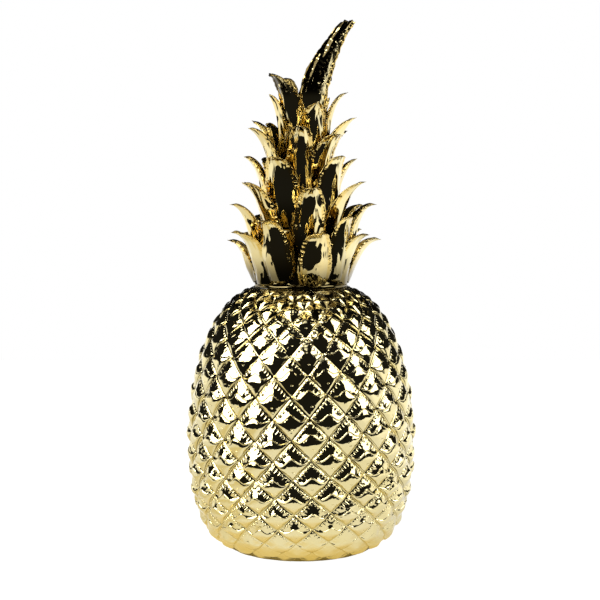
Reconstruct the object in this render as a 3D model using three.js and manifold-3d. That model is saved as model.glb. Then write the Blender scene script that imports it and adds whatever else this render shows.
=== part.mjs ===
// A glazed porcelain pineapple jar: a hollow, scaled fruit, and a crown of leaves that lifts off as its lid.
// Millimetres, +Z up. The origin is the middle of the underside, and the front of the piece looks along -Y.

import * as THREE from 'three';
import { mergeVertices } from 'three/addons/utils/BufferGeometryUtils.js';
import Module from 'manifold-3d';

const wasm = await Module();
wasm.setup();

// Driving dimensions of the fruit
const fruitHeight = 160.5;      // underside to the rim that the lid sits on
const fruitRadius = 70.5;       // over the scales, at the girth
const footRadius = 46;          // outer radius of the underside
const rimRadius = 28.5;         // outer radius of the rim and of the lid's flange
const mouthRadius = 20.5;       // clear opening inside the rim
const rimBand = 2.6;            // height of the smooth band below the rim
const wall = 4.5;               // cast wall of the fruit and of the crown
const floorThickness = 7;       // from the underside to the jar's inside floor
const floorRound = 6;           // how far the inside floor is drawn in at its edge
const footRingWidth = 9;        // glaze-free ring that the jar stands on
const footRecess = 1.5;         // depth of the underside inside that ring

// Driving dimensions of the scales
const spiralsRight = 18;        // spiral rows that climb to the right
const spiralsLeft = 20;         // spiral rows that climb to the left
const scaleRelief = 2.6;        // crest of a scale above the grooves round it
const tallnessLow = 0.312;      // height of a scale, as a share of the radius there, near the foot
const tallnessHigh = 0.383;     // the same near the shoulder
const tallnessChange = [0.22, 0.66];     // shares of the height between which it changes
const scaleFade = 0.9;          // rows at the foot and at the rim over which the scales flatten out
const spiralSkew = 0.915;       // turn between two neighbours up a right-hand row, over half its even share
const frontScaleHeight = 78.2;  // middle of one scale at the front, which fixes the pattern's height
const frontScaleTurn = 4.6;     // degrees from the front to the middle of that scale

// Driving dimensions of the crown
const seatGap = 0.3;            // glaze gap between the rim and the flange
const flangeThickness = 2.4;
const collarDepth = 10;         // how far the locating collar hangs into the mouth
const collarClearance = 0.8;    // collar to mouth, on the radius
const collarWall = 4;
const stemRadius = 26;          // of the leafy core, at the flange
const stemTopRadius = 7.5;
const stemHeight = 114;         // flange to the top of the core
const leafThickness = 3.2;
const leafProud = 1.5;          // leaf's outer side beyond the core, where it starts
const leafCup = 52;             // degrees that each half of a leaf is rolled inwards
const leafLean = -0.04;         // how far a leaf leans out on its way up, as a share of its rise
const leafHook = 0.47;          // share of its reach over which the tip bends outwards
const leafBaseWidth = 0.8;      // width at the base, as a share of the widest
const leafWidestAt = 0.35;      // share of its length where it is widest
const leafTaper = 3;            // the higher, the later a leaf narrows to its tip
const leafSwayBend = 1.6;       // the higher, the nearer to its tip a swayed leaf bends

// Mesh steps
const turnSteps = 30;
const profileSteps = 480;
const insideSteps = 9;
const leafStations = [0, 0.36, 0.65, 0.86, 1];

// The fruit's outline from foot to rim: the two ends are driving sizes, and between them each point
// is a share of the height and of the girth.
const outlineShares = [
  [0.03, 0.77], [0.075, 0.855], [0.15, 0.925], [0.25, 0.978], [0.386, 1.0], [0.523, 0.985],
  [0.66, 0.938], [0.785, 0.851], [0.89, 0.726], [0.96, 0.58],
];
const outline = new THREE.SplineCurve([
  new THREE.Vector2(footRadius, 0),
  ...outlineShares.map(([up, out]) => new THREE.Vector2(fruitRadius * out, fruitHeight * up)),
  new THREE.Vector2(rimRadius, fruitHeight),
]);

const smooth = (low, high, x) => {
  const t = Math.min(1, Math.max(0, (x - low) / (high - low)));
  return t * t * (3 - 2 * t);
};

// Walks up the outline and notes, for each step, its radius, height and outward direction, and the number
// of scale heights climbed so far. A scale keeps its proportion, so it shrinks with the radius.
const climb = [];
{
  const tallness = (z) => (
    tallnessLow + (tallnessHigh - tallnessLow) * smooth(...tallnessChange, z / fruitHeight));
  let rows = 0;
  let last = outline.getPoint(0);
  for (let k = 0; k <= profileSteps; k++) {
    const point = outline.getPoint(k / profileSteps);
    const along = outline.getTangent(k / profileSteps);
    rows += point.distanceTo(last) / (tallness(point.y) * 0.5 * (point.x + last.x));
    climb.push({ r: point.x, z: point.y, outR: along.y, outZ: -along.x, rows });
    last = point;
  }
}
const rowsInAll = climb[profileSteps].rows;

// Where the outline is after a number of rows. Past the foot and past the rim it runs on straight up or down,
// to be cut off flat there.
const outlineAt = (rows) => {
  const overshoot = 30;           // millimetres for each row past an end
  if (rows <= 0) return { ...climb[0], z: rows * overshoot };
  if (rows >= rowsInAll) return { ...climb[profileSteps], z: fruitHeight + (rows - rowsInAll) * overshoot };
  let k = 1;
  while (climb[k].rows < rows) k++;
  const [a, b] = [climb[k - 1], climb[k]];
  const t = (rows - a.rows) / (b.rows - a.rows);
  const mix = (name) => a[name] + (b[name] - a[name]) * t;
  return { r: mix('r'), z: mix('z'), outR: mix('outR'), outZ: mix('outZ') };
};

// Makes one closed solid from a list of points and a list of triangles between them.
const solidFrom = (points, triangles) => new wasm.Manifold(new wasm.Mesh({
  numProp: 3,
  vertProperties: new Float32Array(points.flat()),
  triVerts: new Uint32Array(triangles.flat()),
}));

const solidOf = (geometry) => {
  geometry.deleteAttribute('normal');
  geometry.deleteAttribute('uv');
  const merged = mergeVertices(geometry, 1e-4);
  return new wasm.Manifold(new wasm.Mesh({
    numProp: 3,
    vertProperties: new Float32Array(merged.attributes.position.array),
    triVerts: new Uint32Array(merged.index.array),
  }));
};

// A solid of revolution from [radius, height] points that start and end on the axis, lowest first.
const turned = (points) => {
  const geometry = new THREE.LatheGeometry(points.map(([r, z]) => new THREE.Vector2(r, z)), turnSteps);
  geometry.rotateX(Math.PI / 2);
  return solidOf(geometry);
};

// The scaled skin. The scales sit on two crossing families of spirals, so a scale is named by its place
// (i, j) in them. Its four corners lie in the grooves, and inside them a ring of four points makes it
// a pillow, with a crest from side to side and facets that fall away above and below it.
const cornerSteps = [[0.5, -0.5], [0.5, 0.5], [-0.5, 0.5], [-0.5, -0.5]];      // right, top, left, bottom
const ringReach = [0.5, 0.62, 0.5, 0.66];       // share of the way from a scale's middle to each corner
const ringLift = [1, 0.7, 1, 0.6];              // share of the relief there
const scaledSkin = () => {
  const stepRight = spiralSkew * Math.PI / spiralsRight;
  const stepLeft = (Math.PI * 2 - spiralsRight * stepRight) / spiralsLeft;
  const frontRows = climb.find((at) => at.z >= frontScaleHeight).rows;
  const rowsOf = (i, j) => frontRows + (spiralsLeft * i + spiralsRight * j) / (spiralsLeft + spiralsRight);
  const points = [];
  const triangles = [];
  const cornerIndex = new Map();
  const place = (i, j, lift) => {
    const rows = rowsOf(i, j);
    const turn = THREE.MathUtils.degToRad(frontScaleTurn) + i * stepRight - j * stepLeft;
    const at = outlineAt(rows);
    const fade = smooth(-scaleFade, scaleFade, rows) * smooth(0, scaleFade, rowsInAll - rows);
    const sink = (1 - lift) * scaleRelief * fade;
    const r = at.r - sink * at.outR;
    points.push([r * Math.sin(turn), -r * Math.cos(turn), at.z - sink * at.outZ]);
    return points.length - 1;
  };
  const corner = (i, j) => {
    const laps = Math.floor(i / spiralsRight);
    const [ci, cj] = [i - laps * spiralsRight, j + laps * spiralsLeft];
    const key = `${ci}:${cj}`;
    if (!cornerIndex.has(key)) cornerIndex.set(key, place(ci, cj, 0));
    return cornerIndex.get(key);
  };
  const edges = new Map();
  for (let i = 0; i < spiralsRight; i++) {
    for (let j = -2 * spiralsLeft; j < 2 * spiralsLeft; j++) {
      const rows = rowsOf(i, j);
      if (rows < -0.5 || rows > rowsInAll + 0.5) continue;
      const corners = cornerSteps.map(([di, dj]) => corner(i + di, j + dj));
      const ring = cornerSteps.map(([di, dj], k) => (
        place(i + di * ringReach[k], j + dj * ringReach[k], ringLift[k])));
      triangles.push([ring[0], ring[1], ring[2]], [ring[0], ring[2], ring[3]]);
      for (let k = 0; k < 4; k++) {
        const next = (k + 1) % 4;
        const side = k % 2 === 0;      // each flank is folded along the line from its side corner
        const fold = side ? corners[k] : corners[next];
        const across = side ? ring[next] : ring[k];
        triangles.push([corners[k], corners[next], across]);
        triangles.push(side ? [fold, across, ring[k]] : [across, fold, ring[next]]);
        const [from, to] = [corners[k], corners[next]];
        if (edges.has(`${to}:${from}`)) edges.delete(`${to}:${from}`);
        else edges.set(`${from}:${to}`, [from, to]);
      }
    }
  }
  const far = fruitHeight;
  points.push([0, 0, -far], [0, 0, 2 * fruitHeight + far]);
  const [lowPole, highPole] = [points.length - 2, points.length - 1];
  for (const [from, to] of edges.values()) {
    triangles.push([to, from, points[from][2] < fruitHeight / 2 ? lowPole : highPole]);
  }
  return solidFrom(points, triangles);
};

// A block larger than the fruit, whose underside (side 1) or top (side -1) lies at height z.
const block = (z, side) => {
  const size = 6 * (fruitRadius + fruitHeight);
  const geometry = new THREE.BoxGeometry(size, size, size);
  geometry.translate(0, 0, z + side * size / 2);
  return solidOf(geometry);
};

// The jar: the skin cut off flat at the foot and at the rim, hollowed out one wall inside the grooves.
const jarSolid = () => {
  const depth = wall + scaleRelief;
  const inside = [];
  for (let k = 0; k <= insideSteps; k++) {
    const at = outlineAt(rowsInAll * k / insideSteps);
    const [r, z] = [at.r - depth * at.outR, at.z - depth * at.outZ];
    if (z > floorThickness + 1 && r > mouthRadius + 0.5) inside.push([r, z]);
  }
  const [floorR] = inside[0];
  const [, shoulderZ] = inside[inside.length - 1];
  const room = turned([
    [0, floorThickness], [floorR - floorRound, floorThickness], ...inside,
    [mouthRadius, shoulderZ], [mouthRadius, fruitHeight + wall], [0, fruitHeight + wall],
  ]);
  const band = turned([
    [0, fruitHeight - 2 * rimBand], [rimRadius, fruitHeight - rimBand],
    [rimRadius, fruitHeight], [0, fruitHeight],
  ]);
  const recessRadius = footRadius - footRingWidth;
  const recess = turned([
    [0, -1], [recessRadius, -1], [recessRadius, 0], [recessRadius - footRecess, footRecess], [0, footRecess],
  ]);
  const trimmed = scaledSkin().subtract(block(0, -1)).subtract(block(fruitHeight, 1));
  return trimmed.add(band).subtract(room).subtract(recess);
};

// The crown's leaves. Base and tip are heights above the flange, reach is the tip's distance from the axis,
// and sway is how far the tip bends to the right. All of these, the half width and the droop are shares of the
// core's height. Turn is in degrees from the front, to the right. The tip's width is a share of the leaf's.
const leaf = (turn, base, tip, reach, halfWidth, droop = 0, tipWidth = 0.06, sway = 0) => ({
  turn, base: stemHeight * base, tip: stemHeight * tip, reach: stemHeight * reach,
  halfWidth: stemHeight * halfWidth, droop: stemHeight * droop, tipWidth, sway: stemHeight * sway,
});
const frontLeaves = [
  leaf(15, 0.0132, 0.2982, 0.4035, 0.0842, 0.0088),
  leaf(-60, 0.0132, 0.2982, 0.4211, 0.0921, -0.0088),
  leaf(68, 0.0132, 0.2807, 0.386, 0.0877, -0.0088),
  leaf(-32, 0.0351, 0.3596, 0.3772, 0.0912, 0.0088),
  leaf(52, 0.0351, 0.3772, 0.3421, 0.0825, 0.0088),
  leaf(-72, 0.1053, 0.4386, 0.3947, 0.0877, -0.0088),
  leaf(10, 0.1754, 0.5351, 0.3684, 0.0789, 0.0088),
  leaf(-62, 0.2281, 0.557, 0.3509, 0.0877, -0.0263),
  leaf(66, 0.2281, 0.5614, 0.3728, 0.0877, -0.0351),
  leaf(-30, 0.3158, 0.6886, 0.307, 0.0965),
  leaf(46, 0.3158, 0.693, 0.307, 0.0921),
  leaf(-1, 0.4561, 0.8509, 0.2281, 0.0667, 0.0088),
  leaf(-68, 0.4912, 0.8377, 0.2982, 0.0789, -0.0088),
  leaf(42, 0.4561, 0.807, 0.2982, 0.0789),
  leaf(72, 0.5263, 0.8947, 0.307, 0.0789, -0.0351),
  leaf(36, 0.6316, 0.9781, 0.1579, 0.0877, 0.0088),
  leaf(-70, 0.6842, 1.0175, 0.1798, 0.0614, -0.0263),
  leaf(-20, 0.7368, 1.114, 0.1754, 0.0789, 0.0088, 0.06, -0.0789),
];
const sideLeaves = [
  leaf(-97, 0.0132, 0.2368, 0.3991, 0.0842, -0.0175),
  leaf(95, 0.0132, 0.2412, 0.4298, 0.0877),
  leaf(93, 0.1053, 0.4298, 0.4035, 0.0877),
  leaf(-95, 0.3333, 0.6842, 0.307, 0.0833, -0.0088),
  leaf(97, 0.3333, 0.6754, 0.3026, 0.0833, -0.0351),
  leaf(-118, 0.5263, 0.8596, 0.2105, 0.0702, 0.0088),
  leaf(88, 0.7018, 1.0263, 0.25, 0.0614, -0.0263),
  leaf(-140, 0.7368, 1.1053, 0.1228, 0.0702, 0.0088),
];
const tallLeaf = leaf(18, 0.7368, 1.4009, 0.1316, 0.0789, -0.1228, 0.5, 0.2193);
// The back carries three in four of the front's leaves once more, half a turn round and a little shorter.
const backLeaves = frontLeaves.filter((l, k) => k % 4 !== 3).map((l) => (
  { ...l, turn: l.turn + 180, tip: l.base + (l.tip - l.base) * 0.95, reach: l.reach * 0.9 }));

const coreRadius = (z) => (
  stemRadius + (stemTopRadius - stemRadius) * Math.min(1, Math.max(0, z / stemHeight)));

// One leaf: a cupped blade along a curve that rises beside the core and bends outwards to its tip.
// It widens a little above its base, then narrows to the tip.
// Its section has two edges, two points on the outer side and one inside.
const leafSolid = ({ turn, base, tip, reach, halfWidth, droop, tipWidth, sway }) => {
  const seat = fruitHeight + seatGap;
  const start = coreRadius(base) + leafProud;
  const rise = tip - base;
  const curve = new THREE.CubicBezierCurve(
    new THREE.Vector2(start, seat + base),
    new THREE.Vector2(start + leafLean * rise, seat + base + 0.5 * rise),
    new THREE.Vector2(reach - leafHook * (reach - start), seat + tip + droop),
    new THREE.Vector2(reach, seat + tip),
  );
  const cup = THREE.MathUtils.degToRad(leafCup);
  const yaw = THREE.MathUtils.degToRad(turn);
  const points = [];
  for (const t of leafStations) {
    const mid = curve.getPoint(t);
    const along = curve.getTangent(t);
    const [outR, outZ] = [along.y, -along.x];
    const swell = leafBaseWidth + (1 - leafBaseWidth) * Math.sin(Math.PI / 2 * Math.min(1, t / leafWidestAt));
    const half = halfWidth * swell * Math.max(tipWidth, 1 - t ** leafTaper);
    const thick = leafThickness * Math.min(1, 0.25 + 1.1 * half / halfWidth);
    const aside = sway * t ** leafSwayBend;
    const put = (side, sink) => {
      const [r, s] = [mid.x - outR * sink, side + aside];
      const [x, y] = [r * Math.sin(yaw) + s * Math.cos(yaw), s * Math.sin(yaw) - r * Math.cos(yaw)];
      points.push([x, y, mid.y - outZ * sink]);
    };
    for (const share of [-1, -0.4, 0.4, 1]) {
      put(half * Math.sin(share * cup) / Math.sin(cup), half * (1 - Math.cos(share * cup)) / Math.sin(cup));
    }
    put(0, thick);
  }
  const around = 5;
  const triangles = [];
  for (let k = 0; k + 1 < leafStations.length; k++) {
    for (let m = 0; m < around; m++) {
      const [a, b] = [k * around + m, k * around + (m + 1) % around];
      triangles.push([a, b, b + around], [a, b + around, a + around]);
    }
  }
  const last = (leafStations.length - 1) * around;
  for (let m = 1; m < around - 1; m++) {
    triangles.push([0, m + 1, m], [last, last + m, last + m + 1]);
  }
  return solidFrom(points, triangles);
};

// The lid: a flange, a locating collar, a hollow core and all its leaves, cast in one.
const crownSolid = () => {
  const seat = fruitHeight + seatGap;
  const collarRadius = mouthRadius - collarClearance;
  const boreRadius = collarRadius - collarWall;
  const core = turned([
    [0, seat - collarDepth], [collarRadius, seat - collarDepth], [collarRadius, seat], [rimRadius, seat],
    [rimRadius, seat + flangeThickness], [coreRadius(flangeThickness), seat + flangeThickness],
    [stemTopRadius, seat + stemHeight], [0, seat + stemHeight + stemTopRadius],
  ]);
  const shaft = (z) => [coreRadius(z) - wall, seat + z];
  const hollow = turned([
    [0, seat - 2 * collarDepth], [boreRadius, seat - 2 * collarDepth], [boreRadius, seat],
    shaft(flangeThickness + wall), shaft(stemHeight - 2 * wall), [0, seat + stemHeight - wall],
  ]);
  const leaves = [...frontLeaves, ...sideLeaves, ...backLeaves, tallLeaf].map(leafSolid);
  return leaves.reduce((all, one) => all.add(one), core).subtract(hollow);
};

const meshOf = (solid, name, color) => {
  const { vertProperties, triVerts } = solid.getMesh();
  const geometry = new THREE.BufferGeometry();
  geometry.setAttribute('position', new THREE.BufferAttribute(vertProperties, 3));
  geometry.setIndex(new THREE.BufferAttribute(triVerts, 1));
  geometry.computeVertexNormals();
  const material = new THREE.MeshStandardMaterial({ color, roughness: 0.08, metalness: 1 });
  const mesh = new THREE.Mesh(geometry, material);
  mesh.name = name;
  return mesh;
};

const pineapple = new THREE.Group();
pineapple.add(meshOf(jarSolid(), 'fruit_jar', 0xd2b566));
pineapple.add(meshOf(crownSolid(), 'crown_lid', 0xc9a950));

export default pineapple;
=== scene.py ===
# Pineapple ornament: a lidded porcelain jar under a mirror-gold glaze.
# In the dictionaries lengths are millimetres and angles are degrees. The meshes are in metres.

import math

import bpy
import numpy as np
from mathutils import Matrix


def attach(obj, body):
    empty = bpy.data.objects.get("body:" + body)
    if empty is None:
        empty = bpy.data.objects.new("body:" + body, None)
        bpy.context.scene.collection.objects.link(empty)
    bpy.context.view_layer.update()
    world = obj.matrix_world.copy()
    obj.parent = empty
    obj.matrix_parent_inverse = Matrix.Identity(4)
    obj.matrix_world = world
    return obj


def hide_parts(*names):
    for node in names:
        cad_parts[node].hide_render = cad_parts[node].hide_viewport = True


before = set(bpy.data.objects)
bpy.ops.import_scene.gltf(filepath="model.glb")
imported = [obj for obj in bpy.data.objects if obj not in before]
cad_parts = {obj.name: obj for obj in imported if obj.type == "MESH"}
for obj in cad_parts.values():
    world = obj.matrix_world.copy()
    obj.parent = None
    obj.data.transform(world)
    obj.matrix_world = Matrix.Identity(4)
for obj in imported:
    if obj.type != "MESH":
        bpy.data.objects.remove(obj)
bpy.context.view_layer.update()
print("frame loaded")


def inMetres(lengths):
    return [length / 1000 for length in lengths]


# Camera: in front of the jar and a little above its middle, looking slightly down
cameraValues = {"place": (-0.7, -975, 272), "lookDown": 7.04, "lens": 96.06, "sensor": 36}
cameraData = bpy.data.cameras.new("camera")
cameraData.lens = cameraValues["lens"]
cameraData.sensor_width = cameraValues["sensor"]
camera = bpy.data.objects.new("camera", cameraData)
camera.location = inMetres(cameraValues["place"])
camera.rotation_euler = (math.radians(90 - cameraValues["lookDown"]), 0, 0)
bpy.context.scene.collection.objects.link(camera)
bpy.context.scene.camera = camera
bpy.context.scene.view_settings.view_transform = "Standard"
print("camera placed")


# Node helpers
def addNode(tree, kind, values=None, **settings):
    # a new node, its settings, and values or links for its input sockets
    node = tree.nodes.new(kind)
    for name, value in settings.items():
        setattr(node, name, value)
    for key, value in (values or {}).items():
        if isinstance(value, bpy.types.NodeSocket):
            tree.links.new(value, node.inputs[key])
        else:
            node.inputs[key].default_value = value
    return node


def mathNode(tree, operation, *values, clamp=False):
    node = addNode(tree, "ShaderNodeMath", dict(enumerate(values)), operation=operation, use_clamp=clamp)
    return node.outputs[0]


def productNode(tree, first, *others):
    for other in others:
        first = mathNode(tree, "MULTIPLY", first, other)
    return first


def offsetNode(tree, value, middle):
    # how far the value lies from the middle, on either side
    return mathNode(tree, "ABSOLUTE", mathNode(tree, "SUBTRACT", value, middle))


def easedNode(tree, value, low, high, toLow=0.0, toHigh=1.0):
    # an even ease from toLow to toHigh as the value goes from low to high
    values = {"Value": value, "From Min": low, "From Max": high, "To Min": toLow, "To Max": toHigh}
    return addNode(tree, "ShaderNodeMapRange", values, interpolation_type="SMOOTHSTEP").outputs[0]


def fadedNode(tree, value, low, high):
    return easedNode(tree, value, low, high, 1.0, 0.0)


def mixedColour(tree, factor, first, second):
    return addNode(tree, "ShaderNodeMix", {0: factor, 6: first, 7: second}, data_type="RGBA").outputs[2]


def vectorNode(tree, operation, values, output="Vector"):
    return addNode(tree, "ShaderNodeVectorMath", values, operation=operation).outputs[output]


def partsOf(tree, vector):
    return addNode(tree, "ShaderNodeSeparateXYZ", {0: vector}).outputs


def objectPlace(tree):
    return addNode(tree, "ShaderNodeTexCoord").outputs["Object"]


def mapPlace(tree, name):
    return addNode(tree, "ShaderNodeUVMap", uv_map=name).outputs[0]


def newMaterial(name):
    material = bpy.data.materials.new(name)
    material.use_nodes = True
    material.node_tree.nodes.clear()
    return material, material.node_tree


# Studio: a white table and backdrop, a dark room on the camera's side, and three soft boxes high up in it
studioValues = {
    "room": 0.012, "backdrop": 1.2, "backdropSides": (0.02, 0.30), "backdropTop": (-0.02, 0.05),
    "boxes": [
        # middle turn, half width, middle height, half height, soft edge, strength
        (-58, 24, 38, 26, 3, 6.5),
        (72, 15, 31, 21, 7, 3.8),
        (-4, 5, 66, 7, 6, 1.5),
    ],
    "tableHalfWidth": 420, "tableFront": 178, "tableBack": 700,
    # the table as the gold mirrors it carries painted light and shade: brighter far to the right, painted gold
    # light at the left and round the foot, painted shadow in the gap under the foot
    "tableGlow": 0.97, "tableWhite": 0.2, "tableMirrored": 0.79, "tablePaintedBright": 1.1, "paintedBrightFrom": (110, 260),
    "paintedLeftFrom": (-120, -50), "paintedLeftTo": (-200, -140), "paintedLeftLight": (0.64, 0.56, 0.32, 1),
    "paintedGlowMiddle": (-5, 0, 0), "paintedGlowReach": (52, 82), "paintedGlowColour": (0.69, 0.545, 0.215, 1),
    "paintedShadowReach": (46.5, 49), "paintedShadowColour": (0.16, 0.12, 0.03, 1),
}


def makeRoom(values):
    # the gold mirrors the boxes and the backdrop, while the camera itself sees plain white
    world = bpy.data.worlds.new("studio")
    bpy.context.scene.world = world
    world.use_nodes = True
    tree = world.node_tree
    tree.nodes.clear()
    x, y, z = partsOf(tree, addNode(tree, "ShaderNodeTexCoord").outputs["Generated"])
    turn = mathNode(tree, "DEGREES", mathNode(tree, "ARCTAN2", x, mathNode(tree, "MULTIPLY", y, -1.0)))
    height = mathNode(tree, "DEGREES", mathNode(tree, "ARCSINE", z))
    backdrop = productNode(
        tree, easedNode(tree, y, *values["backdropSides"]), fadedNode(tree, z, *values["backdropTop"])
    )
    light = mathNode(tree, "MULTIPLY_ADD", backdrop, values["backdrop"], values["room"])
    for midTurn, halfTurn, midHeight, halfHeight, edge, strength in values["boxes"]:
        offTurn, offHeight = offsetNode(tree, turn, midTurn), offsetNode(tree, height, midHeight)
        inside = productNode(
            tree, fadedNode(tree, offTurn, halfTurn, halfTurn + edge),
            fadedNode(tree, offHeight, halfHeight, halfHeight + edge),
        )
        light = mathNode(tree, "MULTIPLY_ADD", inside, strength, light)
    seen = addNode(tree, "ShaderNodeLightPath").outputs["Is Camera Ray"]
    strength = mathNode(tree, "MULTIPLY_ADD", light, mathNode(tree, "SUBTRACT", 1.0, seen), seen)
    background = addNode(tree, "ShaderNodeBackground", {"Color": (1, 1, 1, 1), "Strength": strength})
    addNode(tree, "ShaderNodeOutputWorld", {0: background.outputs[0]})


def makeTable(values):
    mesh = bpy.data.meshes.new("table")
    half, front, back = inMetres(values[key] for key in ("tableHalfWidth", "tableFront", "tableBack"))
    corners = [(-half, -front, 0), (half, -front, 0), (half, back, 0), (-half, back, 0)]
    mesh.from_pydata(corners, [], [(0, 1, 2, 3)])
    table = bpy.data.objects.new("table", mesh)
    bpy.context.scene.collection.objects.link(table)
    material, tree = newMaterial("whiteTable")
    diffuse = addNode(tree, "ShaderNodeBsdfDiffuse", {"Color": (values["tableWhite"],) * 3 + (1,)})
    # the gold mirrors a table that is a little dimmer, with painted light and shade on it: a painted brighter
    # stretch far to the right, painted gold light in a stretch at the left and round the foot, and painted
    # shadow in the gap close under the foot
    place = objectPlace(tree)
    x = partsOf(tree, place)[0]
    left = productNode(
        tree, fadedNode(tree, x, *inMetres(values["paintedLeftFrom"])), easedNode(tree, x, *inMetres(values["paintedLeftTo"]))
    )
    away = vectorNode(tree, "DISTANCE", {0: place, 1: inMetres(values["paintedGlowMiddle"])}, "Value")
    fromAxis = vectorNode(tree, "LENGTH", {0: place}, "Value")
    mirrored = (values["tableMirrored"],) * 3 + (1,)
    for mask, colour in (
        (easedNode(tree, x, *inMetres(values["paintedBrightFrom"])), (values["tablePaintedBright"],) * 3 + (1,)),
        (left, values["paintedLeftLight"]),
        (fadedNode(tree, away, *inMetres(values["paintedGlowReach"])), values["paintedGlowColour"]),
        (fadedNode(tree, fromAxis, *inMetres(values["paintedShadowReach"])), values["paintedShadowColour"]),
    ):
        mirrored = mixedColour(tree, mask, mirrored, colour)
    seen = addNode(tree, "ShaderNodeLightPath").outputs["Is Camera Ray"]
    colour = mixedColour(tree, seen, mirrored, (values["tableGlow"],) * 3 + (1,))
    glow = addNode(tree, "ShaderNodeEmission", {"Color": colour, "Strength": 1.0})
    both = addNode(tree, "ShaderNodeAddShader", {0: diffuse.outputs[0], 1: glow.outputs[0]})
    addNode(tree, "ShaderNodeOutputMaterial", {0: both.outputs[0]})
    mesh.materials.append(material)


makeRoom(studioValues)
makeTable(studioValues)
print("studio built")


# Shapes
def easeBetween(low, high, x):
    # 0 below low, 1 above high, 3t^2 - 2t^3 between
    t = np.clip((x - low) / (high - low), 0, 1)
    return t * t * (3 - 2 * t)


def newPiece(name, points, faceGroups, maps=None):
    # points in millimetres; each face group is an array of faces with the same number of corners;
    # maps holds, by name, two numbers for every corner of every face
    mesh = bpy.data.meshes.new(name)
    loops = np.concatenate([group.ravel() for group in faceGroups]).astype(np.int32)
    sizes = np.concatenate([np.full(len(group), group.shape[1]) for group in faceGroups])
    starts = (np.cumsum(sizes) - sizes).astype(np.int32)
    mesh.vertices.add(len(points))
    mesh.vertices.foreach_set("co", (points * 0.001).astype(np.float32).ravel())
    mesh.loops.add(len(loops))
    mesh.loops.foreach_set("vertex_index", loops)
    mesh.polygons.add(len(starts))
    mesh.polygons.foreach_set("loop_start", starts)
    mesh.polygons.foreach_set("use_smooth", np.ones(len(starts), bool))
    for mapName, corners in (maps or {}).items():
        layer = mesh.uv_layers.new(name=mapName)
        layer.data.foreach_set("uv", corners.astype(np.float32).ravel())
    mesh.update(calc_edges=True)
    if mesh.validate():
        print("mesh repaired:", name)
    piece = bpy.data.objects.new(name, mesh)
    bpy.context.scene.collection.objects.link(piece)
    return piece


def stitchRings(lower, lowerTurn, upper, upperTurn):
    # triangles between two closed rings of points whose turns both rise from about the same start
    def middles(turn):
        return 0.5 * (turn + np.append(turn[1:], turn[0] + 2 * np.pi))

    lowMid, highMid = middles(lowerTurn), middles(upperTurn)
    atUpper = upper[np.searchsorted(highMid, lowMid) % len(upper)]
    atLower = lower[np.searchsorted(lowMid, highMid) % len(lower)]
    return np.concatenate([
        np.stack([lower, np.roll(lower, -1), atUpper], 1),
        np.stack([atLower, np.roll(upper, -1), upper], 1),
    ])


def turnedRings(profile, firstTurn, columns):
    # profile points (radius, height) carried round the axis; quads between neighbouring rings
    turn = firstTurn + 2 * np.pi * np.arange(columns) / columns
    radius, height = profile[:, 0, None], profile[:, 1, None]
    points = np.stack([
        radius * np.sin(turn), -radius * np.cos(turn), height + 0 * turn,
    ], -1).reshape(-1, 3)
    ring = np.arange(len(profile) - 1)[:, None] * columns
    column = np.arange(columns)[None, :]
    nextColumn = (column + 1) % columns
    above = ring + columns
    quads = np.stack([ring + column, ring + nextColumn, above + nextColumn, above + column], -1)
    return points, quads.reshape(-1, 4), turn


def roundedProfile(corners, radii, steps=5):
    # a polyline with each inner corner replaced by a short quadratic curve that starts radii before it
    corners = np.array(corners, float)
    out = [corners[:1]]
    for before, at, after, reach in zip(corners[:-2], corners[1:-1], corners[2:], radii):
        if reach <= 0:
            out.append(at[None])
            continue
        start = at + (before - at) * min(0.49, reach / np.linalg.norm(before - at))
        end = at + (after - at) * min(0.49, reach / np.linalg.norm(after - at))
        t = np.linspace(0, 1, steps)[:, None]
        out.append((1 - t) ** 2 * start + 2 * t * (1 - t) * at + t ** 2 * end)
    out.append(corners[-1:])
    return np.concatenate(out)


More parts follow.
